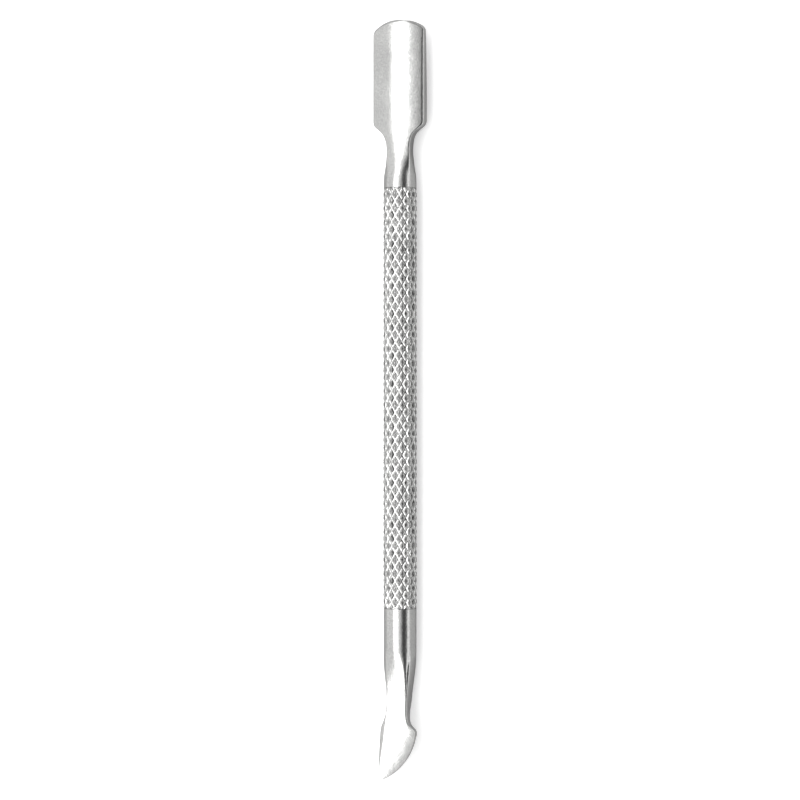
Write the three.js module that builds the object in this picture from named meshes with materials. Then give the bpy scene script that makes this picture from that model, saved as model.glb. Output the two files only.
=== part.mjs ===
// A double-ended cuticle pusher: a knurled steel handle with a spoon-shaped pusher pressed into one end
// and a small angled scraper blade pressed into the other.
//
// Millimetres, +Z up. The tool lies along X with the pusher towards +X and the crowned side of the pusher up.
// The origin is under the middle of the tool, on the surface that it lies on.

import * as THREE from "three";

// ---- Driving dimensions -------------------------------------------------------------------------

const OVERALL_LENGTH = 127;
const PUSHER_REACH = 28; // from the pusher's front edge to the handle
const SCRAPER_REACH = 28.6; // from the blade's point to the handle

const KNURL_DIAMETER = 5.6; // across the crests
const KNURL_DEPTH = 0.27;
const KNURL_STARTS = 14; // grooves of each hand around the bar
const KNURL_PITCH = 2.35; // length of one diamond
const SHANK_DIAMETER = 5.5;

const BORE_DIAMETER = 3.6;
const BORE_DEPTH = 12.3;
const TANG_DIAMETER = 3.5;
const TANG_LENGTH = 12;
const SEAM_GAP = 0.1; // between the end of the handle and a tip's shoulder

// The pusher, at distances back from its front edge. side is half its width. crown and lip are the heights
// above the tool's axis of the top face's middle and edges, keel and hollow those of the underside's edges
// and middle, and round is how far the section has turned into the round shank.
const PUSHER_STATIONS = [
  { back: 0, side: 4.32, crown: 1.5, lip: 0.57, keel: -0.09, hollow: 1.2, round: 0 },
  { back: 0.5, side: 4.46, crown: 1.84, lip: 0.85, keel: -0.28, hollow: 1.1, round: 0 },
  { back: 4, side: 4.5, crown: 1.86, lip: 0.85, keel: -0.5, hollow: 0.8, round: 0 },
  { back: 11, side: 4.5, crown: 1.86, lip: 0.85, keel: -0.78, hollow: 0.3, round: 0 },
  { back: 16.9, side: 4.5, crown: 1.86, lip: 0.85, keel: -0.82, hollow: -0.17, round: 0 },
  { back: 17.5, side: 4.35, crown: 1.86, lip: 0.92, keel: -0.64, hollow: -0.2, round: 0 },
  { back: 18.1, side: 3.76, crown: 1.84, lip: 1.1, keel: -0.5, hollow: -0.25, round: 0 },
  { back: 18.9, side: 2.83, crown: 1.76, lip: 1.33, keel: -0.5, hollow: -0.4, round: 0 },
  { back: 19.6, side: 2.4, crown: 1.6, lip: 1.28, keel: -0.71, hollow: -0.62, round: 0.01 },
  { back: 20.6, side: 2.12, crown: 1.46, lip: 1.18, keel: -0.9, hollow: -0.85, round: 0.02 },
  { back: 22, side: 1.98, crown: 1.38, lip: 1.13, keel: -1.04, hollow: -1, round: 0.06 },
  { back: 24.4, side: 2, crown: 1.42, lip: 1.09, keel: -1.25, hollow: -1.15, round: 0.42 },
  { back: 27.2, side: 2.2, crown: 1.8, lip: 1.3, keel: -1.7, hollow: -1.6, round: 1 },
];
const SPOON_FRONT_RADIUS = 7.5; // of the front edge, seen from above
const SPOON_FRONT_OFFSET = 0.4; // the front edge's centre lies this far to the right of the axis
const SPOON_FRONT_FADE = 5; // the sections behind the front edge straighten over this length
const SPOON_RING_BACKS = [0, 0.25, 0.5, 1.2, 2, 3, 4.5, 6, 8.5, 11, 14]; // where the spoon has a ring
const PUSHER_NECK_BACK = 16.8; // rings stand close together from here to the handle

// The scraper, at distances back from its point. left is the spine and right is the cutting edge up to the
// blade's corner, as sides of the axis. top is the height of the flat on top, under and thin are the heights
// of the underside along the spine and along the cutting edge.
const BLADE_EDGE_RADIUS = 10.7; // of the cutting edge, seen from above
const BLADE_EDGE_CENTRE = { side: -7.33, back: 9.5 };
const BLADE_EDGE_BACKS = [0, 0.3, 0.8, 1.5, 2.4, 3.4, 4.5, 5.7, 6.9]; // where the blade has a ring
const BLADE_POINT = { left: -3.2, top: 1.62, under: 1.12, thin: 1.2 };
const SCRAPER_STATIONS = [
  { back: 7.8, left: -3.07, right: 3.22, top: 1.75, under: 0.78, thin: 0.78, round: 0 },
  { back: 8.4, left: -3.02, right: 3.12, top: 1.75, under: 0.7, thin: 0.71, round: 0 },
  { back: 9, left: -2.8, right: 2.5, top: 1.75, under: 0.55, thin: 0.55, round: 0 },
  { back: 9.8, left: -2.4, right: 1.9, top: 1.75, under: 0.25, thin: 0.2, round: 0 },
  { back: 11, left: -2, right: 1.74, top: 1.75, under: -0.2, thin: -0.2, round: 0 },
  { back: 13.3, left: -1.85, right: 1.76, top: 1.75, under: -1, thin: -1.05, round: 0 },
  { back: 15, left: -1.88, right: 1.86, top: 1.75, under: -1.2, thin: -1.2, round: 0 },
  { back: 17, left: -2.05, right: 2.05, top: 1.86, under: -1.4, thin: -1.4, round: 0.2 },
  { back: 19, left: -2.2, right: 2.2, top: 2.1, under: -1.7, thin: -1.7, round: 0.44 },
  { back: 20.6, left: -2.3, right: 2.3, top: 2.3, under: -1.9, thin: -1.9, round: 0.8 },
  { back: 22, left: -2.3, right: 2.3, top: 2.4, under: -1.9, thin: -1.9, round: 1 },
];

// ---- Rings --------------------------------------------------------------------------------------
// Every piece is a tube of rings, skinned from one end to the other. Each ring has the same number of points,
// so that a round shank can turn into a flat blade without a break. A ring goes along its top from left to
// right, down its right wall, along its bottom and up its left wall. A point's side is positive to the right
// for someone who looks down on the tool with the pusher pointing away from them, which is towards -Y.

const RING_SIDES = 2 * KNURL_STARTS;
const TOP_SPANS = 9; // and as many along the bottom
const WALL_SPANS = RING_SIDES / 2 - TOP_SPANS;
const RING_TURN = (2 * Math.PI) / RING_SIDES;
const NECK_RING_STEP = 0.6; // between the rings of both necks
const AXIS_HEIGHT = KNURL_DIAMETER / 2;
const HANDLE_LENGTH = OVERALL_LENGTH - PUSHER_REACH - SCRAPER_REACH;
const PUSHER_X = OVERALL_LENGTH / 2;
const SCRAPER_X = -OVERALL_LENGTH / 2;

// A round ring with a flat at the very top and bottom. diameterAt gives the size across flats of each point.
function roundRing(diameterAt) {
  return Array.from({ length: RING_SIDES }, (_, i) => {
    const radius = diameterAt(i) / 2 / Math.cos(RING_TURN / 2);
    const angle = Math.PI / 2 + (TOP_SPANS / 2 - i) * RING_TURN;
    return { side: radius * Math.cos(angle), height: radius * Math.sin(angle) };
  });
}

// A ring with a top, a bottom and two walls. top and bottom give a height for a place across it, -1 to 1.
function facedRing(left, right, top, bottom) {
  const ring = [];
  const addPoint = (across, height) => {
    ring.push({ side: THREE.MathUtils.mapLinear(across, -1, 1, left, right), height });
  };
  const addFace = (start, end, face) => {
    for (let i = 0; i <= TOP_SPANS; i++) {
      const across = THREE.MathUtils.lerp(start, end, i / TOP_SPANS);
      addPoint(across, face(across));
    }
  };
  const addWall = (across, from, to) => {
    for (let i = 1; i < WALL_SPANS; i++) {
      addPoint(across, THREE.MathUtils.lerp(from(across), to(across), i / WALL_SPANS));
    }
  };
  addFace(-1, 1, top);
  addWall(1, top, bottom);
  addFace(1, -1, bottom);
  addWall(-1, bottom, top);
  return ring;
}

function blendRings(a, b, share) {
  return a.map((p, i) => ({
    side: THREE.MathUtils.lerp(p.side, b[i].side, share),
    height: THREE.MathUtils.lerp(p.height, b[i].height, share),
  }));
}

// A ring's points in space. xAt gives the position along the tool for a point's side.
function placed(ring, xAt) {
  return ring.map((p) => new THREE.Vector3(xAt(p.side), -p.side, AXIS_HEIGHT + p.height));
}

// Skins rings that run towards +X into one closed solid. The diagonals of its quads alternate, which puts the
// grooves of a knurl on edges. Strips between a ring's top and its bottom close the two ends.
function skinned(rings) {
  const faces = [];
  const at = (row, column) => row * RING_SIDES + ((column + RING_SIDES) % RING_SIDES);
  for (let row = 0; row + 1 < rings.length; row++) {
    for (let column = 0; column < RING_SIDES; column++) {
      const [a, b] = [at(row, column), at(row, column + 1)];
      const [c, d] = [at(row + 1, column), at(row + 1, column + 1)];
      const halves = (row + column) % 2 === 0 ? [a, b, d, a, d, c] : [a, b, c, b, d, c];
      faces.push(...halves);
    }
  }
  const wallMiddle = RING_SIDES - Math.floor(WALL_SPANS / 2);
  const last = rings.length - 1;
  for (let i = 0; i < RING_SIDES / 2 - 1; i++) {
    const strip = (row) => [wallMiddle + i, wallMiddle + i + 1, wallMiddle - 1 - i, wallMiddle - 2 - i]
      .map((column) => at(row, column));
    const [a, b, c, d] = strip(0);
    faces.push(a, c, b, b, c, d);
    const [e, f, g, h] = strip(last);
    faces.push(e, f, g, f, h, g);
  }
  const geometry = new THREE.BufferGeometry().setFromPoints(rings.flat());
  geometry.setIndex(faces);
  geometry.computeVertexNormals();
  return geometry;
}

// One value of a piece's stations at any distance from its tip: a smooth curve that doesn't overshoot.
function stationValue(stations, key, back) {
  const next = stations.findIndex((station) => station.back >= back);
  if (next <= 0) {
    return stations.at(next)[key];
  }
  const slope = (i) => {
    if (i === 0 || i === stations.length - 1) {
      return 0;
    }
    const steps = [i - 1, i].map(
      (j) => (stations[j + 1][key] - stations[j][key]) / (stations[j + 1].back - stations[j].back),
    );
    return steps[0] * steps[1] > 0 ? 2 / (1 / steps[0] + 1 / steps[1]) : 0;
  };
  const [a, b] = [stations[next - 1], stations[next]];
  const span = b.back - a.back;
  const t = (back - a.back) / span;
  const [atA, atB] = [a[key], b[key]];
  const rise = (t ** 3 - 2 * t ** 2 + t) * slope(next - 1) + (t ** 3 - t ** 2) * slope(next);
  return THREE.MathUtils.lerp(atA, atB, t * t * (3 - 2 * t)) + rise * span;
}

// The two rings of a tang, from its free end to the shoulder.
function tangRings(shoulderX, direction) {
  const ring = roundRing(() => TANG_DIAMETER);
  return [shoulderX + direction * TANG_LENGTH, shoulderX].map((x) => placed(ring, () => x));
}

// ---- Pieces -------------------------------------------------------------------------------------

// A straight bar with a diamond knurl over its whole length and a blind hole in each end for a tang.
function handleGeometry() {
  const left = SCRAPER_X + SCRAPER_REACH;
  const rows = 2 * Math.round(HANDLE_LENGTH / KNURL_PITCH);
  const bore = roundRing(() => BORE_DIAMETER);
  const atX = (ring, x) => placed(ring, () => x);
  const knurl = [];
  for (let row = 0; row <= rows; row++) {
    const isEnd = row === 0 || row === rows;
    const ring = roundRing((column) => {
      const isGroove = isEnd || (row + column) % 2 === 0;
      return KNURL_DIAMETER - (isGroove ? 2 * KNURL_DEPTH : 0);
    });
    knurl.push(atX(ring, left + (HANDLE_LENGTH * row) / rows));
  }
  const right = left + HANDLE_LENGTH;
  const leftBore = [left + BORE_DEPTH, left].map((x) => atX(bore, x));
  const rightBore = [right, right - BORE_DEPTH].map((x) => atX(bore, x));
  return skinned([...leftBore, ...knurl, ...rightBore]);
}

function pusherRing(back) {
  const value = (key) => stationValue(PUSHER_STATIONS, key, back);
  const arch = (edge, middle) => (across) => THREE.MathUtils.lerp(middle, edge, across * across);
  const faced = facedRing(
    -value("side"),
    value("side"),
    arch(value("lip"), value("crown")),
    arch(value("keel"), value("hollow")),
  );
  return blendRings(faced, roundRing(() => SHANK_DIAMETER), value("round"));
}

// A crowned spatula with a hollow underside and a rounded front edge, on a flat neck and a round shank.
function pusherGeometry() {
  const shoulder = PUSHER_X - PUSHER_REACH + SEAM_GAP;
  const backs = [...SPOON_RING_BACKS];
  for (let back = PUSHER_NECK_BACK; back < PUSHER_REACH - SEAM_GAP; back += NECK_RING_STEP) {
    backs.push(back);
  }
  const rings = backs.map((back) => {
    const bow = 1 - THREE.MathUtils.smoothstep(back, 0, SPOON_FRONT_FADE);
    const xAt = (side) => {
      const off = side - SPOON_FRONT_OFFSET;
      const sag = SPOON_FRONT_RADIUS - Math.sqrt(SPOON_FRONT_RADIUS ** 2 - off ** 2);
      return PUSHER_X - back - bow * sag;
    };
    return placed(pusherRing(back), xAt);
  });
  const shank = placed(roundRing(() => SHANK_DIAMETER), () => shoulder);
  return skinned([...tangRings(shoulder, -1), shank, ...rings.reverse()]);
}

function scraperRing({ left, right, top, under, thin, round }) {
  const slope = (across) => THREE.MathUtils.mapLinear(across, -1, 1, under, thin);
  return blendRings(facedRing(left, right, () => top, slope), roundRing(() => SHANK_DIAMETER), round);
}

// The blade's section at a distance back from its point, where its right side is the cutting edge.
function bladeStation(back) {
  const heel = SCRAPER_STATIONS[0];
  const value = (key) => THREE.MathUtils.lerp(BLADE_POINT[key], heel[key], back / heel.back);
  const { side, back: centre } = BLADE_EDGE_CENTRE;
  return {
    left: value("left"),
    right: side + Math.sqrt(BLADE_EDGE_RADIUS ** 2 - (back - centre) ** 2),
    top: value("top"),
    under: value("under"),
    thin: value("thin"),
    round: 0,
  };
}

// A small blade with a straight spine and a curved cutting edge, on a flat-topped neck and a round shank.
function scraperGeometry() {
  const shoulder = SCRAPER_X + SCRAPER_REACH - SEAM_GAP;
  const blade = BLADE_EDGE_BACKS.map((back) => ({ back, station: bladeStation(back) }));
  const neck = [];
  const keys = Object.keys(SCRAPER_STATIONS[0]);
  for (let back = SCRAPER_STATIONS[0].back; back < SCRAPER_STATIONS.at(-1).back; back += NECK_RING_STEP) {
    const values = keys.map((key) => [key, stationValue(SCRAPER_STATIONS, key, back)]);
    neck.push({ back, station: Object.fromEntries(values) });
  }
  const rings = [...blade, ...neck].map(({ back, station }) =>
    placed(scraperRing(station), () => SCRAPER_X + back),
  );
  const shank = placed(roundRing(() => SHANK_DIAMETER), () => shoulder);
  return skinned([...rings, shank, ...tangRings(shoulder, 1).reverse()]);
}

// ---- The tool -----------------------------------------------------------------------------------

const satinSteel = { color: 0xd2d2d0, metalness: 1, roughness: 0.32 };
const knurledSteel = { color: 0xbcbcba, metalness: 1, roughness: 0.38 };

function piece(name, geometry, finish) {
  const mesh = new THREE.Mesh(geometry, new THREE.MeshStandardMaterial(finish));
  mesh.name = name;
  return mesh;
}

const tool = new THREE.Group();
tool.name = "cuticle_pusher";
tool.add(
  piece("handle", handleGeometry(), knurledSteel),
  piece("pusher_tip", pusherGeometry(), satinSteel),
  piece("scraper_tip", scraperGeometry(), satinSteel),
);

export default tool;
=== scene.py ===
# %% [markdown]
# # A double-ended cuticle pusher
# The object is a small steel hand tool: a knurled round handle, a crowned spatula that pushes
# the cuticle back, and a little angled blade that scrapes it off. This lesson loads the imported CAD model
# as a fixed frame, builds a finer mesh for each of its three pieces, and gives them ground and polished
# steel.

# %% Load the frame
import math

import bpy
import numpy as np
from mathutils import Matrix, Vector


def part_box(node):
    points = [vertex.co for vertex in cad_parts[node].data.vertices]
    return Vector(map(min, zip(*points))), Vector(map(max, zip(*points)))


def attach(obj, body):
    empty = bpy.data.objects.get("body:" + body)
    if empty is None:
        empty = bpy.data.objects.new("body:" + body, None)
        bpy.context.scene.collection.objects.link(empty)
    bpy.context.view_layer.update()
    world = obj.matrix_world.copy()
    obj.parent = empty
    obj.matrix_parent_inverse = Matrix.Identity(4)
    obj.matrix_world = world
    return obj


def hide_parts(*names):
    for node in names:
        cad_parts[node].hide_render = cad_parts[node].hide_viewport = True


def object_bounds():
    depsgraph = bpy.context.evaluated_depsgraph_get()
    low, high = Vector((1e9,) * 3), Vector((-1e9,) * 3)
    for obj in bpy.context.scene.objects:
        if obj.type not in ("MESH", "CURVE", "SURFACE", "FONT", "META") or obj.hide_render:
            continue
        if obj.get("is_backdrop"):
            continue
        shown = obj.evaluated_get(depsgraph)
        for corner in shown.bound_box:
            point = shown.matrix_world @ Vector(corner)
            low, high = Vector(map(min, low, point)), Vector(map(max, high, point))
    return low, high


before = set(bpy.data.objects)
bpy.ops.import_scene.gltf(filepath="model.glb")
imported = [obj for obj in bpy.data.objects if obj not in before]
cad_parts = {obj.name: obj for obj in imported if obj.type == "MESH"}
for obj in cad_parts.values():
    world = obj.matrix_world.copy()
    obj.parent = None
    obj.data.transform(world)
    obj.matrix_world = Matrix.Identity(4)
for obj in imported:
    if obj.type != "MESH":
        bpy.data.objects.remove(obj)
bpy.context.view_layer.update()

MM = 0.001

# %% [markdown]
# ## Where the pieces lie
# The frame says where each piece starts and ends. The tool's axis runs along X at half the handle's
# height, so every section below is drawn about that axis: "side" is positive to the right of someone who
# looks down on the tool with the spatula pointing away from them, and "height" is measured from the axis.
# Everything is in millimetres until a mesh is made.

# %% The axis and the seams
handle_low, handle_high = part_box("handle")
AXIS_HEIGHT = (handle_low.z + handle_high.z) / 2 / MM
KNURL_RADIUS = AXIS_HEIGHT
PUSHER_TIP_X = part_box("pusher_tip")[1].x / MM
SCRAPER_TIP_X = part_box("scraper_tip")[0].x / MM
HANDLE_LEFT, HANDLE_RIGHT = handle_low.x / MM, handle_high.x / MM
SHANK_RADIUS = 2.75
TANG_RADIUS, TANG_LENGTH = 1.75, 12.0
BORE_RADIUS, BORE_DEPTH = 1.8, 12.3
SEAM_GAP = 0.004  # between an end of the handle and a tip's shoulder
print("axis height", round(AXIS_HEIGHT, 3), "mm; handle from", HANDLE_LEFT, "to", HANDLE_RIGHT)

# %% [markdown]
# ## Making a body from rings
# Both working ends are forged from round bar, so each is one smooth body whose section changes along its
# length. Lofting suits that: every section is a ring with the same number of points, and neighbouring
# rings are joined by quads. The ends are closed by strips between the top and the bottom of the last
# ring, which stays clean even where the ring is a thin crescent.

# %% Loft rings into a mesh
def make_mesh(name, points, faces, sharp_degrees=40):
    """A smooth-shaded object from points in millimetres. Edges sharper than the angle stay crisp."""
    mesh = bpy.data.meshes.new(name)
    mesh.from_pydata((np.asarray(points) * MM).tolist(), [], faces)
    mesh.validate()
    mesh.shade_smooth()
    mesh.set_sharp_from_angle(angle=math.radians(sharp_degrees))
    piece = bpy.data.objects.new(name, mesh)
    bpy.context.scene.collection.objects.link(piece)
    print(name, "has", len(mesh.vertices), "points and", len(mesh.polygons), "faces")
    return piece


def loft_faces(rows, columns, wall_middle):
    """Quads between rings that run towards +X, and strips over both ends. wall_middle is the number of a
    ring's point in the middle of its left wall."""
    at = lambda row, column: row * columns + column % columns
    faces = []
    for row in range(rows - 1):
        for column in range(columns):
            near, far = at(row, column), at(row, column + 1)
            faces.append((near, far, at(row + 1, column + 1), at(row + 1, column)))
    for row, outward in ((0, -1), (rows - 1, 1)):
        for i in range(columns // 2 - 1):
            strip = (wall_middle + i, wall_middle + i + 1, wall_middle - 2 - i, wall_middle - 1 - i)
            faces.append(tuple(at(row, column) for column in strip)[::outward])
    return faces


# %% [markdown]
# ## A section with four rounded edges
# A forged and ground section has a top face, a bottom face and two walls, and its edges are never
# perfectly sharp: each has a radius of a tenth of a millimetre or so, which is what catches the light.
# The section is built from curves for the top and the bottom, and a short Bezier arc turns each corner.

# %% Draw a section
FACE_SPANS = 56
WALL_SPANS = 8
CORNER_SPANS = 6
RING_POINTS = 2 * (FACE_SPANS + WALL_SPANS + 2 * CORNER_SPANS)
WALL_MIDDLE = RING_POINTS - CORNER_SPANS - WALL_SPANS // 2
CIRCLE_FACE_ANGLE = 56  # the part of a round ring that answers to half of a face, in degrees
LARGEST_CORNER = 0.4  # the most of a face or a wall that one corner may take up


def trimmed(curve, start_trim, end_trim):
    """The same number of points along a curve, without a length at each end."""
    steps = np.hypot(*np.diff(curve, axis=0).T)
    along = np.concatenate([[0], np.cumsum(steps)])
    start, end = start_trim, along[-1] - end_trim
    keep = start + (along / along[-1]) * (end - start)
    return np.stack([np.interp(keep, along, curve[:, k]) for k in range(2)], axis=1)


def section(top, bottom, edge_radii):
    """A closed ring from a top curve that runs to the right and a bottom curve that runs to the left. Each
    is an array of (side, height). Walls join their ends. The edges' radii go round from the top right."""
    wall = lambda a, b: a + (b - a) * np.linspace(0, 1, WALL_SPANS + 1)[:, None]
    runs = [top, wall(top[-1], bottom[0]), bottom, wall(bottom[-1], top[0])]
    lengths = [np.hypot(*np.diff(run, axis=0).T).sum() for run in runs]
    ring = []
    for i, run in enumerate(runs):
        before = min(edge_radii[i - 1], LARGEST_CORNER * min(lengths[i], lengths[i - 1]))
        after = min(edge_radii[i], LARGEST_CORNER * min(lengths[i], lengths[(i + 1) % 4]))
        runs[i] = trimmed(run, before, after)
    corners = [top[-1], bottom[0], bottom[-1], top[0]]
    for i, run in enumerate(runs):
        start, end = run[-1], runs[(i + 1) % 4][0]
        t = np.linspace(0, 1, CORNER_SPANS + 1)[1:-1, None]
        arc = (1 - t) ** 2 * start + 2 * t * (1 - t) * corners[i] + t**2 * end
        ring += [run, arc]
    return np.concatenate(ring)


def circle_section(radius):
    """A round ring whose points answer to those of a section with faces and walls."""
    half_face = math.radians(CIRCLE_FACE_ANGLE)
    wall_spans = WALL_SPANS + 2 * CORNER_SPANS
    turns = []
    for middle in (0, math.pi):
        turns.append(np.linspace(-half_face, half_face, FACE_SPANS + 1) + middle)
        turns.append(np.linspace(half_face, math.pi - half_face, wall_spans + 1)[1:-1] + middle)
    turns = np.concatenate(turns)
    return radius * np.stack([np.sin(turns), np.cos(turns)], axis=1)


# %% [markdown]
# ## Values along the tool
# A smith sees a tool as a few stations along its length. Each station here is a dictionary of sizes at a
# distance back from the tip, and a smooth curve that never overshoots gives every size in between.

# %% Smooth values between stations
def along_stations(stations, key, back):
    """One of the stations' sizes at any distance back from the tip."""
    at = np.array([station["back"] for station in stations])
    value = np.array([station[key] for station in stations], float)
    steps = np.diff(value) / np.diff(at)
    slopes = np.zeros_like(value)
    same_way = steps[1:] * steps[:-1] > 0
    with np.errstate(divide="ignore", invalid="ignore"):
        slopes[1:-1] = np.where(same_way, 2 / (1 / steps[1:] + 1 / steps[:-1]), 0)
    i = np.clip(np.searchsorted(at, back) - 1, 0, len(at) - 2)
    span = at[i + 1] - at[i]
    t = np.clip((back - at[i]) / span, 0, 1)
    smooth = value[i] + (value[i + 1] - value[i]) * t * t * (3 - 2 * t)
    return smooth + span * (slopes[i] * (t**3 - 2 * t**2 + t) + slopes[i + 1] * (t**3 - t**2))


def place(ring, x):
    """A ring in space, in millimetres. x is one value, or one for each point."""
    x = np.broadcast_to(x, len(ring))
    return np.stack([x, -ring[:, 0], AXIS_HEIGHT + ring[:, 1]], axis=1)


def arc_height(side, middle, radius):
    """The height of an arc over the sides, from its middle height and its radius."""
    return middle - (radius - np.sqrt(radius**2 - side**2))


# %% [markdown]
# ## The spatula
# The pusher is a spoon: crowned above and hollow below, so that its front edge fits the curve of a nail.
# The front edge is an arc, ground thin with a narrow bevel on top. Behind it the sides run straight and
# parallel, then turn in round the shoulders to a flat neck that grows into the round shank.

# %% Stations of the spatula
# side: half the width. crown and hollow: heights of the top and the underside on the middle line. over
# and under: their radii across. edge: the radius of the section's corners. round: how far it has become
# the shank.
PUSHER_STATIONS = [
    dict(back=0, side=4.32, crown=1.5, over=10.5, hollow=1.22, under=7.8, edge=0.05, round=0),
    dict(back=0.45, side=4.46, crown=1.84, over=10.5, hollow=1.12, under=7.8, edge=0.16, round=0),
    dict(back=4, side=4.5, crown=1.86, over=10.5, hollow=0.8, under=8.4, edge=0.4, round=0),
    dict(back=11, side=4.5, crown=1.86, over=10.5, hollow=0.3, under=9.9, edge=0.44, round=0),
    dict(back=16.9, side=4.5, crown=1.86, over=10.5, hollow=-0.17, under=16, edge=0.44, round=0),
    dict(back=17.45, side=4.38, crown=1.86, over=10.5, hollow=-0.2, under=21, edge=0.42, round=0),
    dict(back=17.9, side=4, crown=1.85, over=10.5, hollow=-0.23, under=27, edge=0.4, round=0),
    dict(back=18.3, side=3.5, crown=1.82, over=10, hollow=-0.28, under=32, edge=0.36, round=0),
    dict(back=18.9, side=2.83, crown=1.75, over=9.5, hollow=-0.42, under=38, edge=0.32, round=0),
    dict(back=19.6, side=2.4, crown=1.6, over=9, hollow=-0.62, under=40, edge=0.3, round=0.01),
    dict(back=20.6, side=2.12, crown=1.46, over=8, hollow=-0.85, under=40, edge=0.3, round=0.02),
    dict(back=22, side=1.98, crown=1.38, over=7, hollow=-1, under=40, edge=0.3, round=0.06),
    dict(back=24.4, side=2, crown=1.42, over=6, hollow=-1.15, under=20, edge=0.34, round=0.42),
    dict(back=27.2, side=2.2, crown=1.8, over=5, hollow=-1.6, under=10, edge=0.5, round=1),
    dict(back=28.5, side=2.2, crown=1.8, over=5, hollow=-1.6, under=10, edge=0.5, round=1),
]
PUSHER_EDGE_SHARES = np.array([1, 0.4, 0.4, 0.7])  # of "edge", at the four corners from the top right round
FRONT_RADIUS = 7.5  # of the front edge, seen from above
FRONT_OFFSET = 0.4  # how far to the right its centre lies
FRONT_FADE = 5.0  # the rings behind the front edge straighten over this length
CORNER_ROUNDING = 0.45  # the front edge's right corner is rounded off, and its left corner isn't
CORNER_INSET = 0.36  # how far the rounding takes the corner in


def pusher_ring(back):
    size = {key: along_stations(PUSHER_STATIONS, key, back) for key in PUSHER_STATIONS[0]}
    into_corner = np.clip(1 - back / CORNER_ROUNDING, 0, 1)
    right = size["side"] - CORNER_INSET * (1 - math.sqrt(1 - into_corner**2))
    sides = np.linspace(-size["side"], right, FACE_SPANS + 1)
    top = np.stack([sides, arc_height(sides, size["crown"], size["over"])], axis=1)
    bottom = np.stack([sides, arc_height(sides, size["hollow"], size["under"])], axis=1)[::-1]
    faced = section(top, bottom, size["edge"] * PUSHER_EDGE_SHARES)
    ring = faced + (circle_section(SHANK_RADIUS) - faced) * size["round"]
    fade = np.clip(back / FRONT_FADE, 0, 1)
    bow = 1 - fade * fade * (3 - 2 * fade)
    off = ring[:, 0] - FRONT_OFFSET
    sag = FRONT_RADIUS - np.sqrt(FRONT_RADIUS**2 - off**2)
    return place(ring, PUSHER_TIP_X - back - bow * sag)


# %% [markdown]
# ## The tang
# A tool as slim as this one is most likely a single bar, knurled in the middle and forged at both ends. The
# model is in three pieces all the same, in the way that thicker tools are made, with each tip pressed into
# the handle. So the tang, its hole and the seam are choices of this model. The tang is a plain cylinder with
# a small chamfer that leads it into the hole. The shank stops just short of the handle, with its corner
# barely broken, so that the seam is a hairline.

# %% Loft the spatula with its tang
def tang_rings(shoulder, direction):
    """A plain cylinder that goes into the handle's hole, with a small lead-in chamfer on its free end."""
    chamfer = 0.3
    stations = [
        (TANG_LENGTH, TANG_RADIUS - chamfer),
        (TANG_LENGTH - chamfer, TANG_RADIUS),
        (0, TANG_RADIUS),
    ]
    return [place(circle_section(r), shoulder + direction * d) for d, r in stations]


def shank_end(shoulder, direction):
    """The shank's last two rings, with a fine break of its corner against the handle."""
    corner = 0.01
    return [
        place(circle_section(SHANK_RADIUS - corner), shoulder),
        place(circle_section(SHANK_RADIUS), shoulder - direction * corner),
    ]


pusher_shoulder = HANDLE_RIGHT + SEAM_GAP
pusher_length = PUSHER_TIP_X - pusher_shoulder
LAST_RING = 0.1  # from a tip's last ring to its shoulder
# the rings stand closest at the front edge, and far apart only where the sides run straight
backs = np.concatenate([
    np.linspace(0, 0.6, 9),
    np.linspace(0.75, 16, 62),
    np.linspace(16.2, pusher_length - LAST_RING, 110),
])
pusher_rings = tang_rings(pusher_shoulder, -1) + shank_end(pusher_shoulder, -1)
pusher_rings += [pusher_ring(back) for back in backs[::-1]]
pusher = make_mesh(
    "pusher",
    np.concatenate(pusher_rings),
    loft_faces(len(pusher_rings), RING_POINTS, WALL_MIDDLE),
)

# %% [markdown]
# ## The scraper
# The other end is a small blade with a straight, bevelled spine on one side and a cutting edge that
# curves round to the point on the other. Its flat top runs back along a waisted neck and dies out on the
# round shank. The cutting edge has a gentle convex grind that drops about half a millimetre, as if it
# were run over a polishing wheel.

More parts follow.
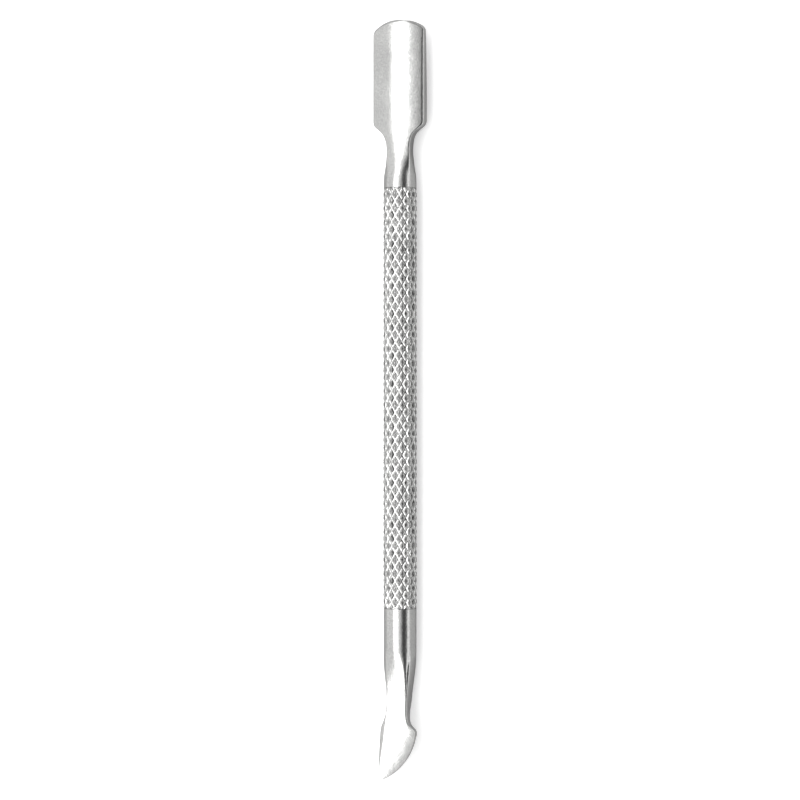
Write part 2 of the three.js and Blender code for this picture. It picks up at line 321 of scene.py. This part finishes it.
# %% Stations of the scraper
# left and right: the sides of the spine and of the cutting edge. top: the flat's height. wall: height of
# the right wall. floor: the underside's height on the spine. bevel and grind: widths of the two ground
# faces. rim: radius of the top's right edge. edge: radius of the other edges. round: how far it has
# become the shank.
SCRAPER_STATIONS = [
    dict(back=0, left=-3.2, right=0, top=1.62, wall=0.26, floor=1.12,
         bevel=0.02, grind=0.6, edge=0.04, rim=0.02, round=0),
    dict(back=1.5, left=-3.26, right=0, top=1.7, wall=0.36, floor=1.0,
         bevel=0.14, grind=1.7, edge=0.12, rim=0.04, round=0),
    dict(back=3.5, left=-3.24, right=0, top=1.75, wall=0.46, floor=0.93,
         bevel=0.34, grind=2.1, edge=0.18, rim=0.05, round=0),
    dict(back=5.5, left=-3.18, right=0, top=1.75, wall=0.54, floor=0.88,
         bevel=0.54, grind=1.9, edge=0.2, rim=0.06, round=0),
    dict(back=7.4, left=-3.1, right=3.2, top=1.75, wall=0.6, floor=0.8,
         bevel=0.74, grind=1.5, edge=0.22, rim=0.08, round=0),
    dict(back=8, left=-3.06, right=3.26, top=1.75, wall=0.68, floor=0.76,
         bevel=0.76, grind=1.3, edge=0.22, rim=0.08, round=0),
    dict(back=8.4, left=-3.02, right=3.12, top=1.75, wall=0.78, floor=0.7,
         bevel=0.74, grind=1.1, edge=0.22, rim=0.1, round=0),
    dict(back=8.9, left=-2.88, right=2.58, top=1.75, wall=0.98, floor=0.6,
         bevel=0.68, grind=0.8, edge=0.22, rim=0.16, round=0),
    dict(back=9.5, left=-2.62, right=2.04, top=1.75, wall=1.35, floor=0.4,
         bevel=0.54, grind=0.45, edge=0.22, rim=0.26, round=0),
    dict(back=10.3, left=-2.26, right=1.8, top=1.75, wall=1.65, floor=0.15,
         bevel=0.3, grind=0.2, edge=0.22, rim=0.34, round=0),
    dict(back=11.5, left=-1.94, right=1.72, top=1.75, wall=2.05, floor=-0.25,
         bevel=0.12, grind=0.1, edge=0.22, rim=0.38, round=0),
    dict(back=13.3, left=-1.85, right=1.76, top=1.75, wall=2.8, floor=-1.0,
         bevel=0.06, grind=0.06, edge=0.22, rim=0.4, round=0),
    dict(back=15, left=-1.88, right=1.86, top=1.75, wall=2.95, floor=-1.2,
         bevel=0.05, grind=0.05, edge=0.24, rim=0.42, round=0.05),
    dict(back=17, left=-2.05, right=2.05, top=1.86, wall=3.2, floor=-1.4,
         bevel=0.05, grind=0.05, edge=0.3, rim=0.45, round=0.2),
    dict(back=19, left=-2.2, right=2.2, top=2.1, wall=3.7, floor=-1.7,
         bevel=0.05, grind=0.05, edge=0.4, rim=0.5, round=0.44),
    dict(back=20.6, left=-2.3, right=2.3, top=2.3, wall=4, floor=-1.9,
         bevel=0.05, grind=0.05, edge=0.5, rim=0.5, round=0.8),
    dict(back=22, left=-2.3, right=2.3, top=2.4, wall=4, floor=-1.9,
         bevel=0.05, grind=0.05, edge=0.5, rim=0.5, round=1),
    dict(back=30, left=-2.3, right=2.3, top=2.4, wall=4, floor=-1.9,
         bevel=0.05, grind=0.05, edge=0.5, rim=0.5, round=1),
]
SCRAPER_EDGE_SHARES = np.array([0.35, 0.8, 1])  # of "edge", at the corners from the bottom right round
EDGE_RADIUS, EDGE_SIDE, EDGE_BACK = 10.7, -7.33, 9.5  # the curved cutting edge, seen from above
CURVED_EDGE_END = 7.4  # how far back from the point it reaches
WIDEST_BEVEL, WIDEST_GRIND = 0.3, 0.6  # shares of the blade's width, for the narrow sections at the point
BEVEL_SLOPE = 0.55
GRIND_START_SLOPE, GRIND_END_SLOPE = 0.19, 0.34
BEVEL_SPANS, GRIND_SPANS = 8, 20


def scraper_ring(back):
    size = {key: along_stations(SCRAPER_STATIONS, key, back) for key in SCRAPER_STATIONS[0]}
    if back < CURVED_EDGE_END:
        size["right"] = EDGE_SIDE + math.sqrt(EDGE_RADIUS**2 - (back - EDGE_BACK) ** 2)
    width = size["right"] - size["left"]
    bevel = min(size["bevel"], WIDEST_BEVEL * width)
    grind = min(size["grind"], WIDEST_GRIND * width)
    flat_spans = FACE_SPANS - BEVEL_SPANS - GRIND_SPANS
    sides = np.concatenate([
        np.linspace(size["left"], size["left"] + bevel, BEVEL_SPANS + 1)[:-1],
        np.linspace(size["left"] + bevel, size["right"] - grind, flat_spans + 1)[:-1],
        np.linspace(size["right"] - grind, size["right"], GRIND_SPANS + 1),
    ])
    into_bevel = np.clip(size["left"] + bevel - sides, 0, None)
    into_grind = np.clip(sides - (size["right"] - grind), 0, None)
    steeper = 0.5 * (GRIND_END_SLOPE - GRIND_START_SLOPE) * into_grind**2 / grind
    heights = size["top"] - BEVEL_SLOPE * into_bevel - GRIND_START_SLOPE * into_grind - steeper
    top = np.stack([sides, heights], axis=1)
    floor_right = heights[-1] - size["wall"]
    floor = np.linspace(floor_right, size["floor"], FACE_SPANS + 1)
    bottom = np.stack([np.linspace(size["right"], size["left"], FACE_SPANS + 1), floor], axis=1)
    faced = section(top, bottom, [size["rim"], *(size["edge"] * SCRAPER_EDGE_SHARES)])
    ring = faced + (circle_section(SHANK_RADIUS) - faced) * size["round"]
    return place(ring, SCRAPER_TIP_X + back)


# %% [markdown]
# ## Lofting the scraper
# The same rings and the same tang make the second tip. The blade needs the most rings round its corner,
# where the width of the section changes fastest.

# %% Loft the scraper with its tang
scraper_shoulder = HANDLE_LEFT - SEAM_GAP
scraper_length = scraper_shoulder - SCRAPER_TIP_X
# here the rings stand closest at the point and round the corner of the blade
backs = np.concatenate([
    np.linspace(0, 0.6, 9),
    np.linspace(0.75, 7.2, 50),
    np.linspace(7.3, 12, 52),
    np.linspace(12.15, 22, 60),
    np.linspace(22.5, scraper_length - LAST_RING, 10),
])
scraper_rings = [scraper_ring(back) for back in backs]
scraper_rings += shank_end(scraper_shoulder, 1)[::-1] + tang_rings(scraper_shoulder, 1)[::-1]
scraper = make_mesh(
    "scraper",
    np.concatenate(scraper_rings),
    loft_faces(len(scraper_rings), RING_POINTS, WALL_MIDDLE),
)

# %% [markdown]
# ## The knurled handle
# A knurl is rolled into the bar by two hardened wheels with slanted teeth. One wheel leaves left-handed
# grooves and the other right-handed ones, and diamonds stand between them. The teeth have blunt tips, so
# each groove has a narrow, smooth floor. The metal that they push aside rises at the edges of each
# diamond, so that its top is dished and rough. A bump map would leave the outline smooth, so the knurl is
# real geometry: a grid of points round the bar whose radius follows the distance to the nearest groove.

# %% Roll the knurl
KNURL_STARTS = 14  # grooves of each hand round the bar
DIAMOND_LENGTH = 2.35
GROOVE_DEPTH, DEPTH_SPREAD = 0.25, 0.06  # the spread is a share of the depth
STEPS = 7  # grid steps from the middle of a groove to the middle of a diamond
FLOOR_STEPS, GROOVE_STEPS = 1.5, 4.6  # half the width of a groove's floor and of its mouth
GROOVE_DRIFT = 0.3  # in grid steps
LIP_INSET, LIP_WIDTH = 0.4, 0.8  # of the raised lip round a diamond, in grid steps
CREST_SPREAD = 0.014  # how much the diamonds differ in height
DISH_DEPTH = 0.03  # of a diamond's middle, below its lip
FLOOR_ROUGHNESS, CREST_ROUGHNESS = 0.002, 0.024
CREST_MARGIN, PLAIN_MARGIN = 0.02, 0.005  # the metal stays this far inside the bar's two diameters
RUN_OUT, RAGGED_START = 0.2, 0.18  # lengths at the ends of the knurl
RAGGED_COLUMNS = 4  # a tooth's bite starts at one place over this many columns
rng = np.random.default_rng(14)


def knurl_radii(rows, columns, length):
    """The bar's radius on a grid of rows along it and columns round it."""
    row, column = np.meshgrid(np.arange(rows), np.arange(columns), indexing="ij")
    period = 2 * STEPS
    # each groove is a little out of place and a little deeper or shallower than the next
    drift, wander = rng.normal(0, 1, (2, 2, KNURL_STARTS))
    sides, index = [], []
    for way, along in enumerate((row + column, row - column)):
        number = ((along + STEPS) // period) % KNURL_STARTS
        sides.append(np.abs((along + STEPS) % period - STEPS + GROOVE_DRIFT * drift[way][number]))
        index.append(number)
    first = sides[0] < sides[1]
    near = np.minimum(*sides)
    variation = np.where(first, wander[0][index[0]], wander[1][index[1]])
    depth = GROOVE_DEPTH * (1 + DEPTH_SPREAD * variation)
    groove = depth * np.clip((GROOVE_STEPS - near) / (GROOVE_STEPS - FLOOR_STEPS), 0, 1)
    lip = np.exp(-(((near - GROOVE_STEPS - LIP_INSET) / LIP_WIDTH) ** 2))
    on_crest = near > GROOVE_STEPS
    diamond = rng.normal(0, 1, (KNURL_STARTS, KNURL_STARTS))[index[0], index[1]]
    crest = (CREST_SPREAD * diamond - DISH_DEPTH * (1 - lip)) * on_crest
    rough = rng.normal(0, 1, near.shape) * np.where(on_crest, CREST_ROUGHNESS, FLOOR_ROUGHNESS)
    # the wheels bite a little sooner in one place than in the next
    from_end = np.minimum(row, rows - 1 - row) / (rows - 1) * length
    bite = RAGGED_START * rng.random((columns // RAGGED_COLUMNS + 1,))[column // RAGGED_COLUMNS]
    run_out = np.clip((from_end - bite) / RUN_OUT, 0, 1)
    plain = SHANK_RADIUS - PLAIN_MARGIN
    knurled = KNURL_RADIUS - CREST_MARGIN - groove + crest + rough
    return np.minimum(plain + (knurled - plain) * run_out, KNURL_RADIUS)


def ring_of(radii, x):
    """A ring round the axis, in millimetres, with a radius for each of its points."""
    turns = np.arange(len(radii)) * 2 * math.pi / len(radii)
    across, up = radii * np.sin(turns), AXIS_HEIGHT + radii * np.cos(turns)
    return np.stack([np.full(len(radii), x), across, up], axis=1)


BORE_RINGS = 2  # in each end of the handle
knurl_length = HANDLE_RIGHT - HANDLE_LEFT
knurl_columns = 2 * KNURL_STARTS * STEPS
knurl_rows = 2 * round(knurl_length / DIAMOND_LENGTH) * STEPS + 1
radii = knurl_radii(knurl_rows, knurl_columns, knurl_length)
bore = np.full(knurl_columns, BORE_RADIUS)
rings = [ring_of(bore, HANDLE_LEFT + BORE_DEPTH), ring_of(bore, HANDLE_LEFT)]
rings += [ring_of(r, x) for r, x in zip(radii, np.linspace(HANDLE_LEFT, HANDLE_RIGHT, knurl_rows))]
rings += [ring_of(bore, HANDLE_RIGHT), ring_of(bore, HANDLE_RIGHT - BORE_DEPTH)]


def knurl_faces(rows, columns):
    """Triangles whose diagonals follow the grooves, and one flat face in the bottom of each hole."""
    at = lambda row, column: row * columns + column % columns
    faces = []
    for row in range(rows - 1):
        for column in range(columns):
            a, b = at(row, column), at(row, column + 1)
            c, d = at(row + 1, column), at(row + 1, column + 1)
            one_way = ((row - BORE_RINGS) // STEPS + column // STEPS) % 2 == 0
            faces += [(a, d, b), (a, c, d)] if one_way else [(a, c, b), (b, c, d)]
    faces.append(tuple(range(columns)))
    faces.append(tuple(range((rows - 1) * columns, rows * columns))[::-1])
    return faces


handle = make_mesh(
    "knurled_handle",
    np.concatenate(rings),
    knurl_faces(len(rings), knurl_columns),
    sharp_degrees=60,
)

# %% [markdown]
# ## Steel
# All three pieces are the same stainless steel. Two effects are shared by the finishes, so each is a node
# group with its own inputs. "Satin grain" is the fine pebbled surface that tumbling leaves: it scatters a
# reflection's edge into speckle. "Polish lines" are the hair-fine marks that a wheel leaves along the
# tool.

# %% Node helpers
def add_node(tree, kind, at=(0, 0), **settings):
    """A node at a place in its tree, with its own settings."""
    node = tree.nodes.new(kind)
    node.location = at
    for key, value in settings.items():
        setattr(node, key, value)
    return node


def new_group(name, inputs, outputs):
    """An empty node group with named sockets. inputs gives each number's starting value."""
    group = bpy.data.node_groups.new(name, "ShaderNodeTree")
    for socket, value in inputs.items():
        made = group.interface.new_socket(socket, in_out="INPUT", socket_type="NodeSocketFloat")
        made.default_value = value
    for socket, kind in outputs.items():
        group.interface.new_socket(socket, in_out="OUTPUT", socket_type=kind)
    given = add_node(group, "NodeGroupInput", (-900, 0))
    out = add_node(group, "NodeGroupOutput", (700, 0))
    return group, given, out


def math_node(tree, operation, a, b=None, at=(0, 0), clamp=False):
    """The output of one sum. a and b are each a number or another node's output."""
    node = add_node(tree, "ShaderNodeMath", at, operation=operation, use_clamp=clamp)
    for socket, value in zip(node.inputs, (a, b)):
        if isinstance(value, (int, float)):
            socket.default_value = value
        elif value is not None:
            tree.links.new(value, socket)
    return node.outputs[0]


# %% Build the shared groups
WAVE_SHARE = 1.5  # the broad waves are this much higher than the pebble
CLOUDS_PER_M = 220
SPECK_RANGE = (0.36, 0.64)
HAIR_WIDTH = 0.006
PATCHES_PER_M, PATCH_THRESHOLD = 340, 0.6


def satin_grain_group():
    """Height: a fine pebble over broad, faint waves. Cloud: a slow stain that varies roughness and colour.
    Speckle: 0 to 1, small matt and bright specks."""
    group, given, out = new_group(
        "satin_grain",
        {"Grain per m": 6000, "Wave per m": 900, "Specks per m": 3600},
        {"Height": "NodeSocketFloat", "Cloud": "NodeSocketFloat", "Speckle": "NodeSocketFloat"},
    )
    place_at = add_node(group, "ShaderNodeTexCoord", (-900, -300)).outputs["Object"]
    pebble = add_node(group, "ShaderNodeTexNoise", (-500, 200))
    pebble.inputs["Detail"].default_value = 2.5
    pebble.inputs["Roughness"].default_value = 0.6
    wave = add_node(group, "ShaderNodeTexNoise", (-500, -50))
    wave.inputs["Detail"].default_value = 2.0
    cloud = add_node(group, "ShaderNodeTexNoise", (-500, -300))
    cloud.inputs["Scale"].default_value = CLOUDS_PER_M
    cloud.inputs["Detail"].default_value = 4.0
    specks = add_node(group, "ShaderNodeTexNoise", (-500, -550))
    specks.inputs["Detail"].default_value = 3.0
    specks.inputs["Roughness"].default_value = 0.7
    spread = add_node(group, "ShaderNodeMapRange", (-200, -550))
    spread.inputs["From Min"].default_value = SPECK_RANGE[0]
    spread.inputs["From Max"].default_value = SPECK_RANGE[1]
    group.links.new(given.outputs["Specks per m"], specks.inputs["Scale"])
    group.links.new(specks.outputs["Fac"], spread.inputs["Value"])
    group.links.new(spread.outputs[0], out.inputs["Speckle"])
    for noise in (pebble, wave, cloud, specks):
        group.links.new(place_at, noise.inputs["Vector"])
    group.links.new(given.outputs["Grain per m"], pebble.inputs["Scale"])
    group.links.new(given.outputs["Wave per m"], wave.inputs["Scale"])
    broad = math_node(group, "MULTIPLY", wave.outputs["Fac"], WAVE_SHARE, (-200, -50))
    height = math_node(group, "ADD", pebble.outputs["Fac"], broad, (0, 100))
    group.links.new(height, out.inputs["Height"])
    group.links.new(cloud.outputs["Fac"], out.inputs["Cloud"])
    return group


def polish_lines_group():
    """Lines: 0 to 1, streaks along X. Scratches: 1 in a few sparse hairlines."""
    group, given, out = new_group(
        "polish_lines",
        {"Lines per m": 9000, "Stretch": 0.03, "Scratch amount": 0.3},
        {"Lines": "NodeSocketFloat", "Scratches": "NodeSocketFloat"},
    )
    place_at = add_node(group, "ShaderNodeTexCoord", (-900, -300)).outputs["Object"]
    split = add_node(group, "ShaderNodeSeparateXYZ", (-720, -300))
    group.links.new(place_at, split.inputs[0])
    squeezed = math_node(group, "MULTIPLY", split.outputs["X"], given.outputs["Stretch"], (-540, -300))
    joined = add_node(group, "ShaderNodeCombineXYZ", (-360, -300))
    group.links.new(squeezed, joined.inputs["X"])
    group.links.new(split.outputs["Y"], joined.inputs["Y"])
    group.links.new(split.outputs["Z"], joined.inputs["Z"])
    streak = add_node(group, "ShaderNodeTexNoise", (-160, 100))
    streak.inputs["Detail"].default_value = 3.0
    group.links.new(joined.outputs[0], streak.inputs["Vector"])
    group.links.new(given.outputs["Lines per m"], streak.inputs["Scale"])
    # a hairline lies where the streaks cross their middle value, and only inside a few patches
    off_middle = math_node(group, "SUBTRACT", streak.outputs["Fac"], 0.5, (60, -200))
    hair = math_node(group, "COMPARE", off_middle, 0.0, (220, -200))
    hair.node.inputs[2].default_value = HAIR_WIDTH
    patches = add_node(group, "ShaderNodeTexNoise", (-160, -200))
    patches.inputs["Scale"].default_value = PATCHES_PER_M
    group.links.new(place_at, patches.inputs["Vector"])
    patchy = math_node(group, "GREATER_THAN", patches.outputs["Fac"], PATCH_THRESHOLD, (220, -400))
    sparse = math_node(group, "MULTIPLY", hair, patchy, (380, -250))
    scratches = math_node(group, "MULTIPLY", sparse, given.outputs["Scratch amount"], (540, -250))
    group.links.new(streak.outputs["Fac"], out.inputs["Lines"])
    group.links.new(scratches, out.inputs["Scratches"])
    return group


GRAIN = satin_grain_group()
LINES = polish_lines_group()
print("shared effects:", GRAIN.name, "and", LINES.name)

# %% [markdown]
# ## Two finishes
# The tips are polished after forging, so they have a low roughness, and their grain does the softening.
# The knurl is left as it was rolled: the hard teeth burnish the grooves bright, and the tops of the
# diamonds keep the dull skin of the bar. How deep a point lies is read from its distance to the axis, so
# the skin follows the real crests.

# %% Make the steels
SPECKLE_SHARE = 0.34  # how far a matt speck pulls the steel towards its dark colour
CLOUD_GAIN, CLOUD_BASE = 0.6, 0.7  # the slow stain does the same, more gently
CLOUD_RANGE = (0.3, 0.7)  # the cloud's own values, which vary the roughness
CREST_SKIN_DEPTH = 0.06


def steel(name, colour, dark, roughness, grain, lines, crest_skin):
    """A metal. colour and dark are its clean and dull tones, roughness a range, grain and lines the heights
    of the two effects in millimetres, and crest_skin how dull the tops of a knurl are."""
    material = bpy.data.materials.new(name)
    material.use_nodes = True
    tree = material.node_tree
    shader = tree.nodes["Principled BSDF"]
    shader.inputs["Metallic"].default_value = 1.0
    grain_node = add_node(tree, "ShaderNodeGroup", (-900, 100), node_tree=GRAIN)
    lines_node = add_node(tree, "ShaderNodeGroup", (-900, -200), node_tree=LINES)

    tint = add_node(tree, "ShaderNodeMix", (-300, 300), data_type="RGBA")
    tint.inputs["A"].default_value = (*dark, 1)
    tint.inputs["B"].default_value = (*colour, 1)
    cloud = math_node(tree, "MULTIPLY_ADD", grain_node.outputs["Cloud"], CLOUD_GAIN, (-700, 300))
    cloud.node.inputs[2].default_value = CLOUD_BASE
    specks = grain_node.outputs["Speckle"]
    speckled = math_node(tree, "MULTIPLY_ADD", specks, SPECKLE_SHARE, (-600, 200))
    speckled.node.inputs[2].default_value = 1 - SPECKLE_SHARE
    mottled = math_node(tree, "MULTIPLY", cloud, speckled, (-550, 300))
    scratches = lines_node.outputs["Scratches"]
    clean = math_node(tree, "SUBTRACT", mottled, scratches, (-500, 300), clamp=True)
    if crest_skin:
        place_at = add_node(tree, "ShaderNodeTexCoord", (-1300, 500)).outputs["Object"]
        off_axis = add_node(tree, "ShaderNodeVectorMath", (-1100, 500), operation="SUBTRACT")
        off_axis.inputs[1].default_value = (0, 0, AXIS_HEIGHT * MM)
        across = add_node(tree, "ShaderNodeVectorMath", (-900, 500), operation="MULTIPLY")
        across.inputs[1].default_value = (0, 1, 1)
        radius = add_node(tree, "ShaderNodeVectorMath", (-700, 500), operation="LENGTH")
        tree.links.new(place_at, off_axis.inputs[0])
        tree.links.new(off_axis.outputs[0], across.inputs[0])
        tree.links.new(across.outputs[0], radius.inputs[0])
        burnished = add_node(
            tree, "ShaderNodeMapRange", (-500, 500), interpolation_type="SMOOTHSTEP"
        )
        burnished.inputs["From Min"].default_value = (KNURL_RADIUS - GROOVE_DEPTH / 2) * MM
        burnished.inputs["From Max"].default_value = (KNURL_RADIUS - CREST_SKIN_DEPTH) * MM
        # nothing is taken off in the grooves, and most on the crests
        burnished.inputs["To Min"].default_value = 1.0
        burnished.inputs["To Max"].default_value = 1 - crest_skin
        tree.links.new(radius.outputs["Value"], burnished.inputs["Value"])
        clean = math_node(tree, "MULTIPLY", clean, burnished.outputs[0], (-400, 300))
    tree.links.new(clean, tint.inputs["Factor"])
    tree.links.new(tint.outputs["Result"], shader.inputs["Base Color"])

    rough = add_node(tree, "ShaderNodeMapRange", (-300, 0))
    rough.inputs["From Min"].default_value = CLOUD_RANGE[0]
    rough.inputs["From Max"].default_value = CLOUD_RANGE[1]
    rough.inputs["To Min"].default_value = roughness[0]
    rough.inputs["To Max"].default_value = roughness[1]
    tree.links.new(grain_node.outputs["Cloud"], rough.inputs["Value"])
    tree.links.new(rough.outputs[0], shader.inputs["Roughness"])

    pebble = add_node(tree, "ShaderNodeBump", (-300, -200))
    pebble.inputs["Distance"].default_value = grain * MM
    tree.links.new(grain_node.outputs["Height"], pebble.inputs["Height"])
    streaks = add_node(tree, "ShaderNodeBump", (-100, -300))
    streaks.inputs["Distance"].default_value = lines * MM
    tree.links.new(lines_node.outputs["Lines"], streaks.inputs["Height"])
    tree.links.new(pebble.outputs["Normal"], streaks.inputs["Normal"])
    tree.links.new(streaks.outputs["Normal"], shader.inputs["Normal"])
    return material


POLISHED = steel(
    "polished_steel",
    colour=(0.74, 0.74, 0.73),
    dark=(0.34, 0.34, 0.34),
    roughness=(0.13, 0.2),
    grain=0.016,
    lines=0.002,
    crest_skin=0,
)
ROLLED = steel(
    "rolled_steel",
    colour=(0.82, 0.82, 0.81),
    dark=(0.05, 0.05, 0.05),
    roughness=(0.14, 0.24),
    grain=0.014,
    lines=0.001,
    crest_skin=0.6,
)

# %% [markdown]
# ## Putting the pieces in place
# Each mesh takes its steel and stands for one piece of the CAD model, which is then hidden. Nothing on the
# tool moves, so all three ride the one body. The two tips share a finish, because they are polished
# together.

# %% Finish the pieces
for piece, node, material, slot in (
    (handle, "handle", ROLLED, "knurled_steel"),
    (pusher, "pusher_tip", POLISHED, "satin_steel"),
    (scraper, "scraper_tip", POLISHED, "satin_steel"),
):
    piece.data.materials.append(material)
    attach(piece, "root")
    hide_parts(node)
    print(piece.name, "stands for", node, "in", material.name)

# %% [markdown]
# ## The studio
# Polished steel shows nothing but its surroundings, so the studio is a list of bands round the tool's
# long axis: a bright softbox just left of overhead, with a crisp left edge and a soft right one, a pale
# room on either side, and between the softbox and the room on the right a dark card, which draws the dark
# line beside each highlight. The camera sees a plain pale backdrop.

# %% Light the studio
BANDS = [  # degrees from straight up, positive to the right; brightness
    (-180, 0.82), (-95, 0.82), (-34, 0.84), (-26.5, 0.9),  # the room on the left
    (-25, 2.9), (-1.5, 2.9), (2.5, 1.45), (8, 1.04), (13, 0.88),  # the softbox
    (18.5, 0.74), (24, 0.58), (29.5, 0.36), (34, 0.16),  # its soft edge
    (38, 0.06), (56, 0.08), (64, 0.16), (69, 0.4),  # the dark card
    (74, 1.1), (86, 1.1), (92, 0.8), (180, 0.8),  # the room on the right
]
BACKDROP_LEVEL = 0.97
BRIGHTEST = max(level for _, level in BANDS)


def studio_world():
    world = bpy.data.worlds.new("studio")
    bpy.context.scene.world = world
    world.use_nodes = True
    tree = world.node_tree
    background = tree.nodes["Background"]
    direction = add_node(tree, "ShaderNodeTexCoord", (-1100, 0)).outputs["Generated"]
    split = add_node(tree, "ShaderNodeSeparateXYZ", (-900, 0))
    tree.links.new(direction, split.inputs[0])
    side = math_node(tree, "MULTIPLY", split.outputs["Y"], -1.0, (-720, -100))
    turn = math_node(tree, "ARCTAN2", side, split.outputs["Z"], (-540, 0))
    share = math_node(tree, "MULTIPLY_ADD", turn, 0.5 / math.pi, (-360, 0))
    share.node.inputs[2].default_value = 0.5
    ramp = add_node(tree, "ShaderNodeValToRGB", (-180, 0))
    tree.links.new(share, ramp.inputs[0])
    stops = ramp.color_ramp.elements
    for degrees, level in BANDS[1:-1]:
        stops.new((degrees + 180) / 360)
    for stop, (degrees, level) in zip(stops, BANDS):
        stop.position = (degrees + 180) / 360
        stop.color = (level / BRIGHTEST,) * 3 + (1,)
    tree.links.new(ramp.outputs[0], background.inputs["Color"])
    background.inputs["Strength"].default_value = BRIGHTEST
    backdrop = add_node(tree, "ShaderNodeBackground", (100, -200))
    backdrop.inputs["Color"].default_value = (BACKDROP_LEVEL,) * 3 + (1,)
    seen = add_node(tree, "ShaderNodeLightPath", (100, 300)).outputs["Is Camera Ray"]
    choose = add_node(tree, "ShaderNodeMixShader", (300, 0))
    tree.links.new(seen, choose.inputs[0])
    tree.links.new(background.outputs[0], choose.inputs[1])
    tree.links.new(backdrop.outputs[0], choose.inputs[2])
    tree.links.new(choose.outputs[0], tree.nodes["World Output"].inputs["Surface"])


studio_world()
bpy.context.scene.view_settings.view_transform = "Standard"
print("studio of", len(BANDS), "tones, the brightest", BRIGHTEST)

# %% [markdown]
# ## The sheet of paper
# The tool lies on white paper that runs off past the edges of the frame. The camera sees it almost as
# bright as the backdrop. In the steel the paper is painted darker: a painted shade that stands in for the
# shade the tool casts on the paper that its own sides reflect, and that draws the thin grey outlines round
# the tips. So the paper has one tone for the camera and a darker, painted-shade tone for the steel.

# %% Lay the floor
FLOOR_SIZE = 6.0
# the middle value is the paper's tone in the steel's reflections: a painted shade, darker than the paper the
# camera sees, standing in for the tool's shadow on it
FLOOR_SEEN, FLOOR_PAINTED_SHADE, FLOOR_GLOW = 0.9, 0.45, 0.45
floor_mesh = bpy.data.meshes.new("floor")
half = FLOOR_SIZE / 2
corners = [(-half, -half, 0), (half, -half, 0), (half, half, 0), (-half, half, 0)]
floor_mesh.from_pydata(corners, [], [(0, 1, 2, 3)])
floor = bpy.data.objects.new("floor", floor_mesh)
bpy.context.scene.collection.objects.link(floor)
paper = bpy.data.materials.new("white_paper")
paper.use_nodes = True
paper_shader = paper.node_tree.nodes["Principled BSDF"]
paper_shader.inputs["Roughness"].default_value = 0.9
camera_ray = add_node(paper.node_tree, "ShaderNodeLightPath", (-500, 0)).outputs["Is Camera Ray"]
# reflections get the darker painted-shade tone and the camera gets the full paper tone
brighter = FLOOR_SEEN - FLOOR_PAINTED_SHADE
tone = math_node(paper.node_tree, "MULTIPLY_ADD", camera_ray, brighter, (-300, 0))
tone.node.inputs[2].default_value = FLOOR_PAINTED_SHADE
glow = math_node(paper.node_tree, "MULTIPLY", camera_ray, FLOOR_GLOW, (-300, -200))
paper.node_tree.links.new(tone, paper_shader.inputs["Base Color"])
paper.node_tree.links.new(glow, paper_shader.inputs["Emission Strength"])
paper_shader.inputs["Emission Color"].default_value = (1, 1, 1, 1)
floor_mesh.materials.append(paper)
floor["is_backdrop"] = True
print("floor of", FLOOR_SIZE, "m in", paper.name)

# %% [markdown]
# ## The camera
# The tool is seen from almost straight above, rolled a little to show its right-hand walls, with the
# spatula at the top of the frame. A long lens at about arm's length keeps both ends nearly as flat as a
# catalogue does.

# %% Aim the camera
VIEW_ROLL = 18.5  # degrees
CAMERA_DISTANCE = 0.42  # metres, as is the next
FRAME_HEIGHT = 0.134
SENSOR = 36.0  # millimetres

low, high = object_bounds()
middle = (low + high) / 2
roll = math.radians(VIEW_ROLL)
towards_camera = Vector((0, -math.sin(roll), math.cos(roll)))
image_up = Vector((1, 0, 0))
image_right = image_up.cross(towards_camera)
camera_data = bpy.data.cameras.new("camera")
camera_data.sensor_width = SENSOR
camera_data.lens = SENSOR * CAMERA_DISTANCE / FRAME_HEIGHT
camera = bpy.data.objects.new("camera", camera_data)
turned = Matrix((image_right, image_up, towards_camera)).transposed().to_4x4()
camera.matrix_world = Matrix.Translation(middle + towards_camera * CAMERA_DISTANCE) @ turned
bpy.context.scene.collection.objects.link(camera)
bpy.context.scene.camera = camera
print("lens of", round(camera_data.lens), "mm")
